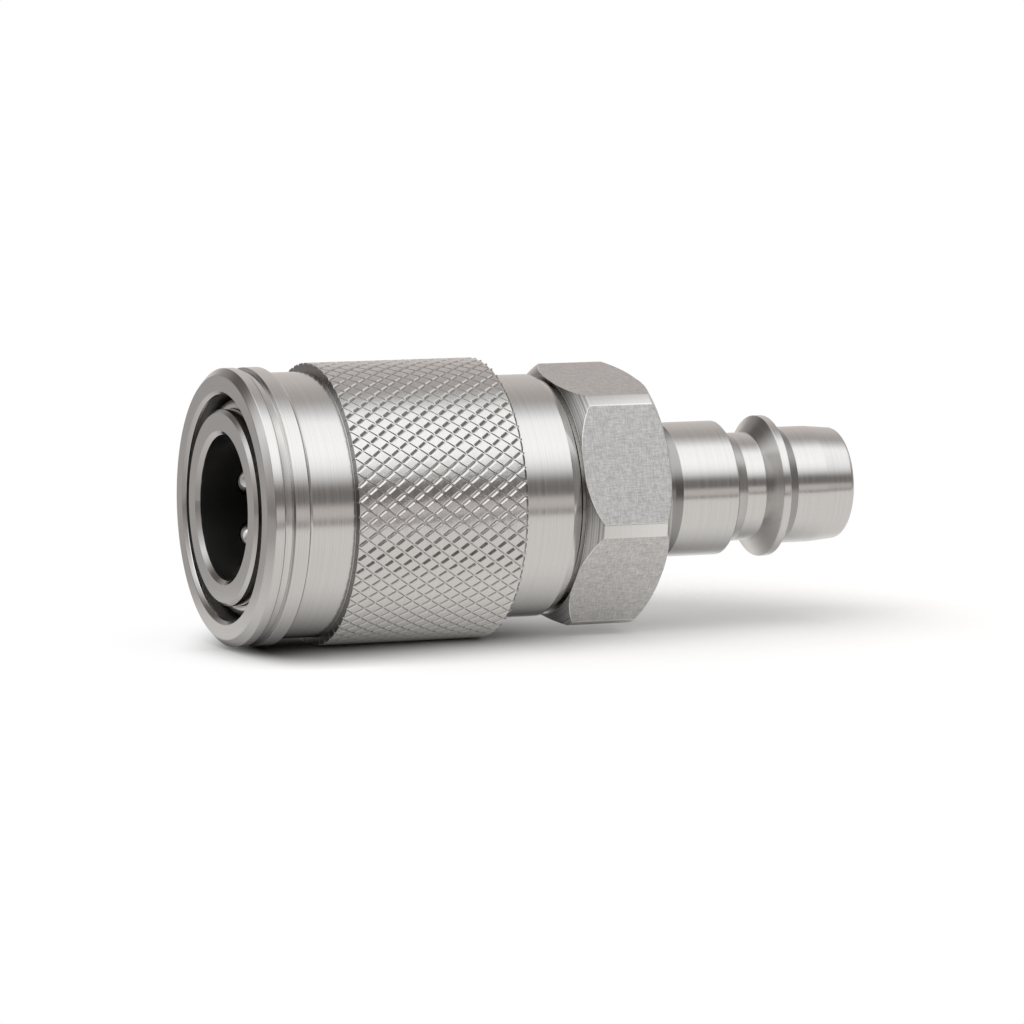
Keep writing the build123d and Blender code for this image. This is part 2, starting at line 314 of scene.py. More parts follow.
def knurl_tooth(sizes, knurl):
    """One tooth of the knurl: a diamond with a raised and rounded crest."""
    half_turn = pi / knurl.around
    low = sizes.grip - knurl.depth - knurl.crown
    across = 2 * low * sin(half_turn)
    unit = hypot(knurl.pitch, across) / (knurl.pitch * across)
    clear_choice()
    bpy.ops.mesh.primitive_plane_add(size=1, location=(0, 0, low))
    tooth = fresh("knurl")
    bpy.ops.object.mode_set(mode="EDIT")
    bpy.ops.mesh.select_all(action="SELECT")
    bpy.ops.mesh.inset(thickness=knurl.root * unit, depth=0)
    bpy.ops.mesh.inset(thickness=(knurl.groove - knurl.root) * unit, depth=0)
    bpy.ops.transform.resize(
        value=(1 + knurl.uneven, 1 - knurl.uneven, 1), center_override=(0, 0, low)
    )
    bpy.ops.transform.translate(value=(0, 0, knurl.depth))
    bpy.ops.mesh.inset(thickness=knurl.groove / 2 * unit, depth=0)
    bpy.ops.transform.translate(value=(0, 0, knurl.crown))
    bpy.ops.mesh.select_all(action="SELECT")
    bpy.ops.transform.rotate(
        value=-pi / 4, orient_axis="Z", center_override=(0, 0, low)
    )
    bpy.ops.transform.resize(
        value=(knurl.pitch / 2**0.5, across / 2**0.5, 1), center_override=(0, 0, low)
    )
    choose(tooth, lambda place: abs(place.y) > across * 0.49)
    bpy.ops.transform.translate(value=(0, 0, -low * (1 - cos(half_turn))))
    bpy.ops.object.mode_set(mode="OBJECT")
    return tooth


def knurl_teeth(sizes, knurl):
    """All the teeth, in rows along the sleeve that are spun round it."""
    piece = knurl_tooth(sizes, knurl)
    rows = int((sizes.end - sizes.knurl_start) / knurl.pitch) + 3
    bpy.ops.object.mode_set(mode="EDIT")
    bpy.ops.mesh.select_all(action="SELECT")
    bpy.ops.transform.translate(value=(sizes.knurl_start - knurl.pitch / 2, 0, 0))
    bpy.ops.object.mode_set(mode="OBJECT")
    apply_modifier(
        piece,
        "ARRAY",
        count=rows,
        use_relative_offset=False,
        use_constant_offset=True,
        constant_offset_displace=(knurl.pitch, 0, 0),
    )
    bpy.ops.object.mode_set(mode="EDIT")
    bpy.ops.mesh.select_all(action="SELECT")
    bpy.ops.mesh.duplicate()
    bpy.ops.transform.translate(value=(knurl.pitch / 2, 0, 0))
    bpy.ops.transform.rotate(
        value=pi / knurl.around, orient_axis="X", center_override=(0, 0, 0)
    )
    bpy.ops.mesh.select_all(action="SELECT")
    copies = knurl.around - 1
    bpy.ops.mesh.spin(
        steps=copies,
        dupli=True,
        angle=2 * pi * copies / knurl.around,
        center=(0, 0, 0),
        axis=(1, 0, 0),
    )
    bpy.ops.mesh.select_all(action="SELECT")
    bpy.ops.mesh.remove_doubles(threshold=HAIR)
    bpy.ops.object.mode_set(mode="OBJECT")
    return piece


def knurl_shell(sizes, knurl):
    """The teeth, trimmed and chamfered at both ends and closed below."""
    piece = knurl_teeth(sizes, knurl)
    front = sizes.knurl_start
    rear = sizes.end
    bpy.ops.object.mode_set(mode="EDIT")
    for place, cut in (
        (front, {"clear_inner": True}),
        (rear, {"clear_outer": True}),
        (front + knurl.lead, {}),
        (rear - knurl.bevel, {}),
    ):
        bpy.ops.mesh.select_all(action="SELECT")
        bpy.ops.mesh.bisect(
            plane_co=(place, 0, 0), plane_no=(1, 0, 0), threshold=NEAR / 10, **cut
        )
    inward = 0.955
    proud = 0.05 * MM
    for place, drop in (
        (front, sizes.grip - sizes.plain - proud),
        (rear, knurl.bevel),
    ):
        choose(piece, lambda point: abs(point.x - place) < NEAR)
        narrow(1 - drop / sizes.grip)
        bpy.ops.mesh.extrude_region_move(TRANSFORM_OT_translate={"value": (0, 0, 0)})
        narrow(inward)
    inner = inward * (sizes.grip - knurl.bevel) + HAIR
    choose(
        piece,
        lambda point: min(abs(point.x - front), abs(point.x - rear)) < NEAR
        and hypot(point.y, point.z) < inner,
    )
    bpy.ops.mesh.bridge_edge_loops()
    bpy.ops.mesh.select_all(action="SELECT")
    bpy.ops.mesh.normals_make_consistent(inside=False)
    bpy.ops.object.mode_set(mode="OBJECT")
    return piece


class COUPLER_OT_sleeve(bpy.types.Operator):
    """Makes the locking sleeve with its knurled grip."""

    bl_idname = "coupler.sleeve"
    bl_label = "Locking sleeve"

    def execute(self, context):
        sizes = context.scene.coupler_sleeve
        body = turned_sleeve(sizes)
        shell = knurl_shell(sizes, context.scene.coupler_knurl)
        clear_choice()
        shell.select_set(True)
        body.select_set(True)
        context.view_layer.objects.active = body
        bpy.ops.object.join()
        bpy.ops.object.shade_smooth_by_angle(angle=radians(28))
        favour_large_faces(body)
        body.data.materials.append(sleeve_steel(context.scene))
        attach(body, "sleeve")
        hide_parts("locking_sleeve")
        return {"FINISHED"}


# Springs

WIRE_SIDES = 12
TURN_STEPS = 40


def coil(name, start, end, coil_radius, wire, turns):
    """Compression spring along the axis between two faces."""
    clear_choice()
    pitch = (end - start - 2 * wire) / turns
    bpy.ops.mesh.primitive_circle_add(
        vertices=WIRE_SIDES,
        radius=wire,
        location=(start + wire, 0, coil_radius),
        rotation=(pi / 2, 0, 0),
    )
    piece = fresh(name)
    apply_modifier(
        piece,
        "SCREW",
        axis="X",
        angle=2 * pi,
        screw_offset=pitch,
        iterations=turns,
        steps=TURN_STEPS,
        render_steps=TURN_STEPS,
    )
    bpy.ops.object.mode_set(mode="EDIT")
    bpy.ops.mesh.select_all(action="DESELECT")
    bpy.ops.mesh.select_mode(type="EDGE")
    bpy.ops.mesh.select_non_manifold()
    bpy.ops.mesh.edge_face_add()
    bpy.ops.mesh.select_all(action="SELECT")
    bpy.ops.mesh.remove_doubles(threshold=NEAR)
    bpy.ops.mesh.normals_make_consistent(inside=False)
    bpy.ops.object.mode_set(mode="OBJECT")
    bpy.ops.object.shade_smooth_by_angle(angle=radians(50))
    return piece


class COUPLER_OT_springs(bpy.types.Operator):
    """Makes the sleeve spring and the valve spring."""

    bl_idname = "coupler.springs"
    bl_label = "Springs"

    def execute(self, context):
        sizes = context.scene.coupler_springs
        finish = drawn_wire(context.scene.coupler_finish)
        for node, joint, wire, turns in (
            ("sleeve_spring", "sleeve_slide", sizes.sleeve_wire, sizes.sleeve_turns),
            ("valve_spring", "valve_slide", sizes.valve_wire, sizes.valve_turns),
        ):
            start = side(node, 0)
            end = side(node, 1)
            radius = side(node, 1, 1) - wire
            piece = coil(node + "_coil", start, end, radius, wire, turns)
            piece.data.materials.append(finish)
            travel = next(
                row["range_m"][1] for row in frame["joints"] if row["name"] == joint
            )
            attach(piece, "socket")
            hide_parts(node)
            (end - start - travel) / (end - start)
            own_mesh(piece)
        return {"FINISHED"}


# Finishes


class Level:
    """Number in a shader, so that its sums read as they do on paper."""

    def __init__(self, finish, socket):
        self.finish = finish
        self.socket = socket

    def step(self, operation, *values):
        """Adds a Math node on this number and the values given."""
        sockets = dict(enumerate((self, *values)))
        node = self.finish.add("ShaderNodeMath", sockets, operation=operation)
        return Level(self.finish, node.outputs[0])

    def fixed(self, value):
        """A plain number made ready to stand first in a sum."""
        node = self.finish.add("ShaderNodeValue")
        node.outputs[0].default_value = value
        return Level(self.finish, node.outputs[0])

    def __add__(self, other):
        return self.step("ADD", other)

    __radd__ = __add__

    def __sub__(self, other):
        return self.step("SUBTRACT", other)

    def __rsub__(self, other):
        return self.fixed(other).step("SUBTRACT", self)

    def __mul__(self, other):
        return self.step("MULTIPLY", other)

    __rmul__ = __mul__

    def __truediv__(self, other):
        return self.step("DIVIDE", other)

    def __rtruediv__(self, other):
        return self.fixed(other).step("DIVIDE", self)

    def between(self, low, high):
        """0 below low, 1 above high, and smooth in between."""
        node = self.finish.add(
            "ShaderNodeMapRange",
            {"Value": self, "From Min": low, "From Max": high},
            interpolation_type="SMOOTHSTEP",
        )
        return Level(self.finish, node.outputs["Result"])

    def within(self, low, high, fade=HAIR):
        """1 from low to high and 0 outside, with a fade past each of the two."""
        return self.between(low, low + HAIR) * (1 - self.between(high, high + fade))


class Finish:
    """Node tree of a material or of the world."""

    def __init__(self, owner):
        owner.use_nodes = True
        self.owner = owner
        self.tree = owner.node_tree
        self.tree.nodes.clear()

    def add(self, kind, sockets=None, stops=None, **settings):
        """Adds a node: its settings and a ramp's stops first, then its sockets."""
        node = self.tree.nodes.new(kind)
        for name, value in settings.items():
            setattr(node, name, value)
        for number, (place, shade) in enumerate(stops or ()):
            points = node.color_ramp.elements
            point = points[number] if number < 2 else points.new(place)
            point.position = place
            point.color = (*shade, 1)
        for key, value in (sockets or {}).items():
            socket = node.inputs[key]
            if isinstance(value, Level):
                value = value.socket
            if isinstance(value, bpy.types.NodeSocket):
                self.tree.links.new(value, socket)
            elif value is not None:
                socket.default_value = value
        return node

    def level(self, socket):
        """Number that another node gives."""
        return Level(self, socket)

    def split(self, vector):
        """The three numbers of a vector."""
        parts = self.add("ShaderNodeSeparateXYZ", {"Vector": vector}).outputs
        return [self.level(part) for part in parts]

    def spot(self):
        """Object coordinates."""
        return self.add("ShaderNodeTexCoord").outputs["Object"]

    def place(self):
        """Object coordinates, the place along the axis and the radius."""
        point = self.spot()
        x, y, z = self.split(point)
        return point, x, (y * y + z * z).step("SQRT")

    def openness(self, reach):
        """1 in the open, less where something stands within reach."""
        sockets = {"Distance": reach}
        node = self.add("ShaderNodeAmbientOcclusion", sockets, samples=16)
        return self.level(node.outputs["AO"])

    def noise(self, scale, detail, point=None, along=None):
        """Noise over a place, or along one number."""
        sockets = {"Scale": scale, "Detail": detail, "Roughness": 0.6}
        if along is None:
            sockets["Vector"] = point
            node = self.add("ShaderNodeTexNoise", sockets, noise_dimensions="3D")
        else:
            sockets["W"] = along
            node = self.add("ShaderNodeTexNoise", sockets, noise_dimensions="1D")
        return self.level(node.outputs["Fac"])

    def stretch(self, point, factors):
        """Place with each direction at its own scale."""
        node = self.add(
            "ShaderNodeVectorMath", {0: point, 1: factors}, operation="MULTIPLY"
        )
        return node.outputs["Vector"]

    def blend(self, factor, first, second):
        """Colour that goes from the first to the second."""
        node = self.add(
            "ShaderNodeMix",
            {"Factor": factor, "A": None, "B": None},
            data_type="RGBA",
        )
        for key, value in (("A_Color", first), ("B_Color", second)):
            socket = next(s for s in node.inputs if s.identifier == key)
            if isinstance(value, bpy.types.NodeSocket):
                self.tree.links.new(value, socket)
            else:
                socket.default_value = (*value, 1)
        return next(s for s in node.outputs if s.identifier == "Result_Color")

    def surface(self, **sockets):
        """Main shader, with each named socket given a number, colour or link."""
        names = {key.replace("_", " "): value for key, value in sockets.items()}
        for key, value in names.items():
            if isinstance(value, tuple) and len(value) == 3:
                names[key] = (*value, 1)
        shader = self.add("ShaderNodeBsdfPrincipled", names)
        self.add("ShaderNodeOutputMaterial", {"Surface": shader.outputs[0]})
        return self.owner

    def bump(self, height, distance, strength, edge=None, facing=None):
        """Relief for the Normal socket, on a given normal or on rounded edges."""
        sockets = {"Height": height, "Distance": distance, "Strength": strength}
        if facing:
            sockets["Normal"] = facing
        if edge:
            rounded = self.add("ShaderNodeBevel", {"Radius": edge}, samples=6)
            sockets["Normal"] = rounded.outputs[0]
        return self.add("ShaderNodeBump", sockets).outputs[0]


def darker(shade, factor):
    """Colour times a number."""
    return tuple(part * factor for part in shade)


# Painted shade for steel that faces a dark corner, and the height of the finest marks
PAINTED_SHADE = (0.12, 0.118, 0.115)
RELIEF = 0.001 * MM


def turned_marks(finish, colours, x, radius):
    """Colour, roughness and relief of turned steel: fine rings on every face."""
    travel = x + radius
    fine = finish.noise(16000, 2, along=travel)
    broad = finish.noise(2600, 3, along=travel)
    lines = (broad * 0.3 + fine * 0.7).between(0.25, 0.75)
    shade = finish.blend(
        lines, darker(colours.steel, 0.92), darker(colours.steel, 1.06)
    )
    rough = colours.roughness + (broad - 0.5) * 0.12
    return shade, rough, fine * 1.8


def turned_steel(name, colours, bore=None):
    """Turned stainless steel, with painted shade in a bore."""
    finish = Finish(bpy.data.materials.new(name))
    x, radius = finish.place()[1:]
    shade, rough, relief = turned_marks(finish, colours, x, radius)
    if bore:
        # Painted shade inside the bore
        inside = (1 - radius.between(bore, bore + 0.1 * MM)) * x.between(
            0.36 * MM, 0.46 * MM
        )
        shade = finish.blend(inside, shade, darker(colours.steel, 0.2))
        rough = rough + inside * 0.2
    return finish.surface(
        Base_Color=shade,
        Metallic=1.0,
        Roughness=rough,
        Normal=finish.bump(relief, RELIEF, 0.6),
    )


def falling_side(finish, point, radius):
    """1 on the walls of the grooves that fall to the right."""
    y, z = finish.split(point)[1:]
    normal = finish.add("ShaderNodeNewGeometry").outputs["True Normal"]
    along, across, up = finish.split(normal)
    turned = (across * z - up * y) / radius
    return (along * turned).between(0.03, 0.12)


def crossings(finish, point, start, knurl):
    """1 in and beside the grooves that fall to the right, where the others open."""
    x, y, z = finish.split(point)
    row = (y * -1).step("ARCTAN2", z) * (knurl.around / (2 * pi))
    off = ((x - start) / knurl.pitch + 0.5 - row).step("FRACT") - 0.5
    return 1 - off.step("ABSOLUTE").between(0.1, 0.2)


def sleeve_steel(scene):
    """Turned steel of the sleeve, with painted shade inside it and in the grooves of its knurl.
    """
    sizes = scene.coupler_sleeve
    knurl = scene.coupler_knurl
    colours = scene.coupler_finish
    finish = Finish(bpy.data.materials.new("sleeve_steel"))
    point, x, radius = finish.place()
    shade, rough, relief = turned_marks(finish, colours, x, radius)
    start = sizes.knurl_start + knurl.lead
    root = sizes.grip - knurl.depth - knurl.crown
    crest = sizes.grip - knurl.crown * 1.5
    # Painted shade on the ledge in front of the knurl, in its grooves, and inside the sleeve
    ledge_shade = x.within(sizes.knurl_start - HAIR, start - HAIR)
    grip = x.between(start, start + 0.1 * MM)
    falling = falling_side(finish, point, radius)
    opened = crossings(finish, point, sizes.knurl_start, knurl)
    groove_shade = (1 - radius.between(root, crest)).step("POWER", 1.4) * grip
    # The grooves' painted shade is lighter on the falling walls and near crossings
    groove_shade = groove_shade * (1 - falling * 0.7) * (1 - opened * 0.6)
    outside = radius.between(sizes.lip + 0.03 * MM, sizes.lip + 0.13 * MM)
    inner = (1 - outside) * x.between(0.4 * MM, 0.6 * MM)
    uneven = finish.noise(1500, 3, point=point)
    # Painted shade on the ledge, in the grooves and inside the sleeve
    shade = finish.blend(ledge_shade * 0.68, shade, PAINTED_SHADE)
    shade = finish.blend(groove_shade, shade, tuple(colours.groove))
    shade = finish.blend(inner * 0.7, shade, PAINTED_SHADE)
    rough = rough + ledge_shade * 0.15 + groove_shade * 0.15 + inner * 0.2
    rough = rough + (uneven - 0.5) * grip * 0.3
    relief = relief * (0.05 + 0.95 * outside) + uneven * grip * 25
    # Near a crossing, walls of the rising grooves are shaded as if they face outwards
    teeth = x.between(start, start + HAIR) * radius.between(
        root - 5 * HAIR, root - 4 * HAIR
    )
    outward = finish.add(
        "ShaderNodeVectorMath",
        {0: finish.stretch(point, (0, 1, 1))},
        operation="NORMALIZE",
    )
    facing = finish.blend(
        opened * (1 - falling) * teeth * 0.8,
        finish.add("ShaderNodeNewGeometry").outputs["Normal"],
        outward.outputs["Vector"],
    )
    return finish.surface(
        Base_Color=shade,
        Metallic=1.0,
        Roughness=rough,
        Normal=finish.bump(relief, RELIEF, 0.6, facing=facing),
    )


# Lengths on the plug adapter, from its front to its nose, and radii of the hexagon
BOSS_LENGTH = 4.68 * MM
HEX_LENGTH = 7.8 * MM
CROWN_LENGTH = 1.2 * MM
GROOVE_LENGTH = 2.9 * MM
SHANK_LENGTH = 8.2 * MM
NECK_RAMP = 1.2 * MM
NOSE_CONE = (4.6 * MM, 5.74 * MM)
HEX_FLAT = 10 * MM
HEX_CORNER = 11.2 * MM
HEX_RIM = (1.14 * MM, 11.247 * MM)


def adapter_steel(colours):
    """Turned steel with milled and tumbled hexagon flats, painted shade and painted highlights.
    """
    finish = Finish(bpy.data.materials.new("adapter_steel"))
    point, x, radius = finish.place()
    shade, rough, relief = turned_marks(finish, colours, x, radius)
    start = side("plug_adapter", 0) + BOSS_LENGTH
    rear = start + HEX_LENGTH
    neck = rear + SHANK_LENGTH
    # The flats, the chamfered crown before them, which gets painted shade, and the line where
    # they meet, which gets a painted highlight
    normal = finish.add("ShaderNodeNewGeometry").outputs["True Normal"]
    lean = finish.split(normal)[0].step("ABSOLUTE")
    corner = radius.between(HEX_CORNER, HEX_CORNER + 2 * HAIR)
    flat = (
        (1 - lean.between(0.02, 0.1))
        * x.within(start - HAIR, rear)
        * radius.between(HEX_FLAT - 0.5 * MM, HEX_FLAT - 0.4 * MM)
        * (1 - corner)
    )
    fade = 0.1 * MM
    crown_end = start + CROWN_LENGTH
    crown = radius.between(HEX_FLAT - fade, HEX_FLAT) * lean.between(0.3, 0.5)
    crown = crown * (1 - x.between(crown_end, crown_end + fade))
    rim_highlight = (start + HEX_RIM[0] - x + radius - HEX_RIM[1]).between(-fade, 0)
    # Painted shade in the hollows of the shank and the plug, which mirror dark metal
    hollow_shade = x.within(rear, rear + GROOVE_LENGTH, fade)
    hollow_shade = hollow_shade + 0.4 * x.within(neck, neck + NECK_RAMP)
    hollow_shade = hollow_shade + 0.9 * x.within(*(neck + place for place in NOSE_CONE))
    woven = [
        finish.noise(1, 3, point=finish.stretch(point, way)).between(0.36, 0.64)
        for way in ((1600, 9000, 9000), (9000, 1600, 1600))
    ]
    grain = woven[0] * 0.5 + woven[1] * 0.5
    satin = finish.blend(
        grain, darker(colours.steel, 0.64), darker(colours.steel, 1.04)
    )
    # Painted highlight along the line where the crown meets the flats
    painted_highlight = darker(colours.steel, 1.5)
    satin = finish.blend(rim_highlight * 0.8, satin, painted_highlight)
    shade = finish.blend(flat, shade, satin)
    # Painted shade on the crown, streaked in rings
    rings = crown * finish.noise(9000, 2, along=radius).between(0.3, 0.7)
    shade = finish.blend(crown * 0.3 + rings * 0.45, shade, PAINTED_SHADE)
    # Painted shade in the hollows
    shade = finish.blend(hollow_shade * 0.6, shade, PAINTED_SHADE)
    # Painted highlight on the corners of the hexagon
    shade = finish.blend(corner * x.between(start, rear) * 0.45, shade, painted_highlight)
    rough = rough + hollow_shade * 0.08 + flat * (0.16 + (grain - 0.5) * 0.1)
    relief = relief * (1 - flat) + grain * flat * 3
    return finish.surface(
        Base_Color=shade,
        Metallic=1.0,
        Roughness=rough,
        Normal=finish.bump(relief, RELIEF, 0.6, edge=0.119 * MM),
    )


def drawn_wire(colours):
    """Drawn spring wire with fine marks and a little bloom."""
    finish = Finish(bpy.data.materials.new("drawn_wire"))
    cloud = finish.noise(1500, 4, point=finish.spot())
    return finish.surface(
        Base_Color=finish.blend(
            cloud, darker(colours.wire, 0.8), darker(colours.wire, 1.1)
        ),
        Metallic=1.0,
        Roughness=0.2 + cloud * 0.16,
        Normal=finish.bump(cloud, 0.002 * MM, 0.4),
    )


def polished_ball(colours):
    """Polished bearing steel with a few light rubs."""
    finish = Finish(bpy.data.materials.new("polished_ball"))
    rub = finish.noise(2500, 5, point=finish.spot())
    return finish.surface(
        Base_Color=finish.blend(rub, darker(colours.ball, 0.92), tuple(colours.ball)),
        Metallic=1.0,
        Roughness=0.06 + rub * 0.1,
        Normal=finish.bump(rub, RELIEF, 0.2),
    )


def seal_rubber(colours):
    """Black rubber, matt, with a faint bloom and a fine moulded skin."""
    finish = Finish(bpy.data.materials.new("seal_rubber"))
    point = finish.spot()
    bloom = finish.noise(900, 4, point=point)
    skin = finish.noise(9000, 3, point=point)
    return finish.surface(
        Base_Color=finish.blend(
            bloom, tuple(colours.rubber), darker(colours.rubber, 2.2)
        ),
        Roughness=0.5 + bloom * 0.2,
        Normal=finish.bump(skin, 0.004 * MM, 0.5),
    )


class COUPLER_OT_finishes(bpy.types.Operator):
    """Gives the CAD nodes that stay their finishes."""

    bl_idname = "coupler.finishes"
    bl_label = "Finishes"

    def execute(self, context):
        colours = context.scene.coupler_finish
        body = turned_steel("body_steel", colours, bore=7 * MM)
        ring = turned_steel("ring_steel", colours)
        rubber = seal_rubber(colours)
        ball = polished_ball(colours)
        finishes = {
            "socket_body": body,
            "plug_adapter": adapter_steel(colours),
            "sleeve_snap_ring": ring,
            "seat_ring": body,
            "valve_guide": body,
            "valve_poppet": body,
            "nose_seal": rubber,
            "body_seal": rubber,
            "poppet_seal": rubber,
        }
        for name, node in frame["nodes"].items():
            if name.startswith("locking_ball"):
                finishes[name] = ball
            if name in finishes:
                node.data.materials.clear()
                node.data.materials.append(finishes[name])
        return {"FINISHED"}


# Stage

WARM = (1.02, 0.96, 0.93)
COOL = (0.995, 0.995, 1.0)

# Middle and half length of the coupler's print on the floor, and the floor itself
PRINT_MIDDLE = 27 * MM
PRINT_HALF = 24 * MM
FLOOR_LENGTH = 1.2
FLOOR_WIDTH = 0.9
FLOOR_MIDDLE = 0.03
FLOOR_AHEAD = 0.057

# The camera fitted to the photo: degrees, its aim and its lens
CAMERA_TURN = 67.514
CAMERA_RISE = 5.936
AIM_RIGHT = 24.038 * MM
AIM_DOWN = 0.339 * MM
LENS = 234.01


def sky(world):
    """Soft studio round the coupler, in rings of lights from its mouth to its plug."""
    finish = Finish(world)
    toward = finish.add("ShaderNodeTexCoord").outputs["Generated"]
    x, y, z = finish.split(toward)
    turn_up = z.step("ARCTAN2", y * -1) / (2 * pi) + 0.5
    # Each light: degrees from the front of the ring upwards, level and tint
    right = (
        (-180, 0.75, WARM),
        (-90, 0.85, WARM),
        (-14, 0.85, WARM),
        (-12.5, 0.34, WARM),
        (-8.5, 0.36, WARM),
        (-6.5, 0.72, WARM),
        (2.5, 0.74, WARM),
        (6, 0.20, WARM),
        (19, 0.22, WARM),
        (29, 0.95, COOL),
        (38, 1.35, COOL),
        (50, 1.5, COOL),
        (80, 1.42, COOL),
        (89, 1.05, COOL),
        (96, 0.76, COOL),
        (106, 0.52, WARM),
        (121, 0.58, WARM),
        (137, 0.70, WARM),
        (180, 0.72, WARM),
    )
    left = (
        (-180, 0.40, WARM),
        (-165, 0.40, WARM),
        (-150, 0.52, WARM),
        (-120, 0.59, WARM),
        (-90, 0.60, WARM),
        (-50, 0.56, WARM),
        (-18, 0.28, WARM),
        (5, 0.30, WARM),
        (30, 0.40, WARM),
        (55, 0.50, WARM),
        (75, 0.72, COOL),
        (90, 0.90, COOL),
        (104, 0.98, COOL),
        (114, 0.78, COOL),
        (124, 0.38, WARM),
        (133, 0.15, WARM),
        (146, 0.14, WARM),
        (154, 0.30, WARM),
        (164, 0.37, WARM),
        (180, 0.40, WARM),
    )
    slant = (
        *left[:7],
        (5, 0.16, WARM),
        (20, 0.20, WARM),
        (34, 1.30, COOL),
        (50, 1.60, COOL),
        (92, 1.60, COOL),
        *left[12:],
    )
    back = (
        (-180, 0.50, WARM),
        (-90, 0.60, WARM),
        (-20, 0.40, WARM),
        (0, 0.30, WARM),
        (40, 0.28, WARM),
        (58, 0.40, WARM),
        (72, 0.95, COOL),
        (90, 1.10, COOL),
        (110, 0.80, COOL),
        (128, 0.42, WARM),
        (142, 0.36, WARM),
        (180, 0.50, WARM),
    )
    ramps = []
    for lights in (left, slant, right, back):
        stops = [
            ((angle + 180) / 360, darker(tint, level)) for angle, level, tint in lights
        ]
        ramp = finish.add("ShaderNodeValToRGB", {"Fac": turn_up}, stops=stops)
        ramps.append(ramp.outputs[0])
    shade = finish.blend(x.between(-0.86, -0.66), *ramps[:2])
    shade = finish.blend(x.between(-0.15, 0.15), shade, ramps[2])
    shade = finish.blend(x.between(0.5, 0.82), shade, ramps[3])
    panels = finish.add("ShaderNodeBackground", {"Color": shade})
    key = Vector((-0.5, -0.45, 0.74)).normalized()
    facing = finish.add(
        "ShaderNodeVectorMath",
        {0: toward, 1: tuple(key)},
        operation="DOT_PRODUCT",
    )
    strength = finish.level(facing.outputs["Value"]).between(-0.1, 1) * 1.9 + 0.15
    dome = finish.add(
        "ShaderNodeBackground", {"Color": (1, 0.995, 0.99, 1), "Strength": strength}
    )
    white = finish.add("ShaderNodeBackground", {"Color": (1, 1, 1, 1)})
    path = finish.add("ShaderNodeLightPath").outputs
    lit = finish.add(
        "ShaderNodeMixShader",
        {0: path["Is Diffuse Ray"], 1: panels.outputs[0], 2: dome.outputs[0]},
    )
    mixed = finish.add(
        "ShaderNodeMixShader",
        {0: path["Is Camera Ray"], 1: lit.outputs[0], 2: white.outputs[0]},
    )
    finish.add("ShaderNodeOutputWorld", {"Surface": mixed.outputs[0]})


def pale_floor(settings):
    """Pale floor that keeps the shadow, with painted shadow and a painted reflection added, and
    goes white away from the coupler.
    """
    finish = Finish(bpy.data.materials.new("pale_floor"))
    point = finish.spot()
    x, y = finish.split(point)[:2]
    grain = finish.noise(400, 3, point=point)
    # Distance from the coupler, and the side where its painted shadow reaches far
    past = ((x - PRINT_MIDDLE).step("ABSOLUTE") - PRINT_HALF).step("MAXIMUM", 0)
    away = (past * past + y * y).step("SQRT")
    behind = (
        y.between(-5 * MM, 10 * MM)
        * x.between(4 * MM, 26 * MM)
        * (1 - x.between(52 * MM, 80 * MM))
    )
    far = (away * (1 - behind * 0.45)).between(8 * MM, 36 * MM)
    near = away.between(0, 14 * MM)
    path = finish.add("ShaderNodeLightPath").outputs
    camera = finish.level(path["Is Camera Ray"])
    gloss = finish.level(path["Is Glossy Ray"])
    shade = finish.blend(
        grain, darker(settings.floor, 0.99), darker(settings.floor, 1.01)
    )
    # Painted contact shadow, darkest below the mouth, and the wide painted shadow round it
    along = x.between(0, 24 * MM)
    press = 1.05 - along * 0.85
    press = press + (1 - x.between(-2 * MM, 8 * MM)) * 0.5
    nearby = finish.openness(9 * MM).step("POWER", press)
    front = (1 - behind) * x.between(-2 * MM, 12 * MM) * 0.2
    wide = 1 - (1 - finish.openness(60 * MM).between(0.84, 1)) * (behind + front)
    contact_shadow = finish.blend(
        along.step("POWER", 1.8), (0.015, 0.014, 0.014), (0.3, 0.29, 0.283)
    )
    contact_shadow = finish.blend(
        x.between(24 * MM, 36 * MM), contact_shadow, (0.75, 0.74, 0.73)
    )
    shade = finish.blend(nearby, contact_shadow, shade)
    shade = finish.blend(wide, (0.55, 0.54, 0.53), shade)
    paper = finish.add("ShaderNodeBsdfDiffuse", {"Color": shade})
    # Painted reflection of the floor for the steel's mirror rays, and where the camera sees it
    # white
    beyond = (1 - x.between(-45 * MM, 20 * MM)).step(
        "MAXIMUM", y.between(5 * MM, 50 * MM)
    )
    painted_reflection = finish.blend(beyond, (0.9, 0.88, 0.86), (0.47, 0.45, 0.44))
    glow = finish.add(
        "ShaderNodeEmission",
        {"Color": finish.blend(camera, painted_reflection, (1, 1, 1))},
    )
    # Painted light that lifts the floor's shadow from the hexagon rearwards and left of the
    # mouth
    painted_lift = x.between(22 * MM, 34 * MM) * (1 - y.between(8 * MM, 25 * MM)) * 0.22
    ahead = x - y.step("MAXIMUM", 0) * 0.5
    painted_lift = painted_lift + (1 - ahead.between(-5.5 * MM, 3.2 * MM)) * 0.9
    mixed = finish.add(
        "ShaderNodeMixShader",
        {
            0: far.step("MAXIMUM", painted_lift) * camera + near * gloss,
            1: paper.outputs[0],
            2: glow.outputs[0],
        },
    )
    finish.add("ShaderNodeOutputMaterial", {"Surface": mixed.outputs[0]})
    return finish.owner


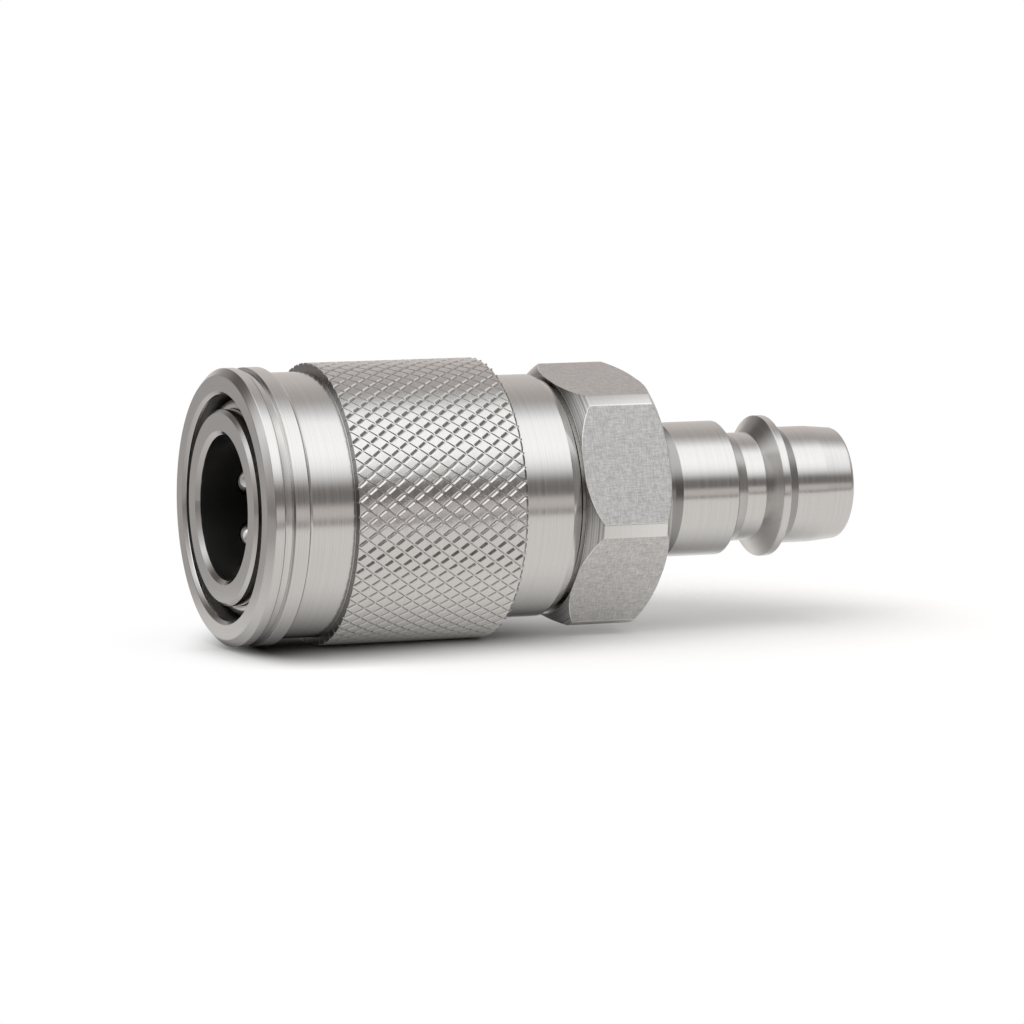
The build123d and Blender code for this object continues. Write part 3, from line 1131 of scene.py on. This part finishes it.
def add_camera(settings):
    """Camera at the photo's angle, aimed at the middle of the coupler."""
    turned = radians(CAMERA_TURN)
    raised = radians(CAMERA_RISE)
    right = Vector((sin(turned), -cos(turned), 0))
    level = Vector((cos(turned), sin(turned), 0))
    up_axis = Vector((0, 0, 1))
    ahead = cos(raised) * level - sin(raised) * up_axis
    up = sin(raised) * level + cos(raised) * up_axis
    aim = AIM_RIGHT * right - AIM_DOWN * up
    eye = aim - settings.distance * ahead
    bpy.ops.object.camera_add()
    camera = bpy.context.object
    camera.name = "camera"
    camera.data.lens = LENS
    camera.data.sensor_width = 36
    camera.data.clip_start = 0.01
    camera.data.clip_end = 20
    place = Matrix((right, up, -ahead)).transposed().to_4x4()
    place.translation = eye
    camera.matrix_world = place
    bpy.context.scene.camera = camera


class COUPLER_OT_stage(bpy.types.Operator):
    """Makes the floor, the light and the camera."""

    bl_idname = "coupler.stage"
    bl_label = "Stage"

    def execute(self, context):
        settings = context.scene.coupler_stage
        clear_choice()
        bpy.ops.mesh.primitive_plane_add(size=1, location=(0, 0, -settings.ground))
        floor = fresh("floor")
        bpy.ops.object.mode_set(mode="EDIT")
        bpy.ops.mesh.select_all(action="SELECT")
        bpy.ops.transform.resize(
            value=(FLOOR_LENGTH, FLOOR_WIDTH, 1), center_override=(0, 0, 0)
        )
        bpy.ops.transform.translate(
            value=(FLOOR_MIDDLE, FLOOR_WIDTH / 2 - FLOOR_AHEAD, 0)
        )
        bpy.ops.mesh.subdivide(number_cuts=4)
        bpy.ops.object.mode_set(mode="OBJECT")
        floor.data.materials.append(pale_floor(settings))
        if not context.scene.world:
            context.scene.world = bpy.data.worlds.new("studio")
        sky(context.scene.world)
        context.scene.view_settings.view_transform = "Standard"
        clear_choice()
        add_camera(settings)
        return {"FINISHED"}


class COUPLER_PT_panel(bpy.types.Panel):
    """Lists the coupler's pieces and their sizes."""

    bl_label = "Air hose coupler"
    bl_idname = "COUPLER_PT_panel"
    bl_space_type = "VIEW_3D"
    bl_region_type = "UI"
    bl_category = "Coupler"

    def draw(self, context):
        layout = self.layout
        for operator, groups in STEPS:
            layout.operator(operator)
            for group in groups:
                sizes = getattr(context.scene, group)
                for name in sizes.bl_rna.properties.keys():
                    if name not in ("rna_type", "name"):
                        layout.prop(sizes, name)


GROUPS = {
    "coupler_sleeve": SleeveSizes,
    "coupler_knurl": KnurlSizes,
    "coupler_springs": SpringSizes,
    "coupler_finish": FinishColours,
    "coupler_stage": StageSettings,
}
STEPS = (
    ("coupler.sleeve", ("coupler_sleeve", "coupler_knurl")),
    ("coupler.springs", ("coupler_springs",)),
    ("coupler.finishes", ("coupler_finish",)),
    ("coupler.stage", ("coupler_stage",)),
)
CLASSES = (
    *GROUPS.values(),
    COUPLER_OT_sleeve,
    COUPLER_OT_springs,
    COUPLER_OT_finishes,
    COUPLER_OT_stage,
    COUPLER_PT_panel,
)


def register():
    """Registers the classes and puts the sizes on the scene."""
    for item in CLASSES:
        bpy.utils.register_class(item)
    for name, group in GROUPS.items():
        setattr(bpy.types.Scene, name, bpy.props.PointerProperty(type=group))


def unregister():
    """Takes the sizes and the classes away."""
    for name in GROUPS:
        delattr(bpy.types.Scene, name)
    for item in reversed(CLASSES):
        bpy.utils.unregister_class(item)


def main():
    """Makes the coupler on its frame."""
    register()
    bpy.ops.coupler.sleeve()
    bpy.ops.coupler.springs()
    bpy.ops.coupler.finishes()
    bpy.ops.coupler.stage()


if __name__ == "__main__":
    main()
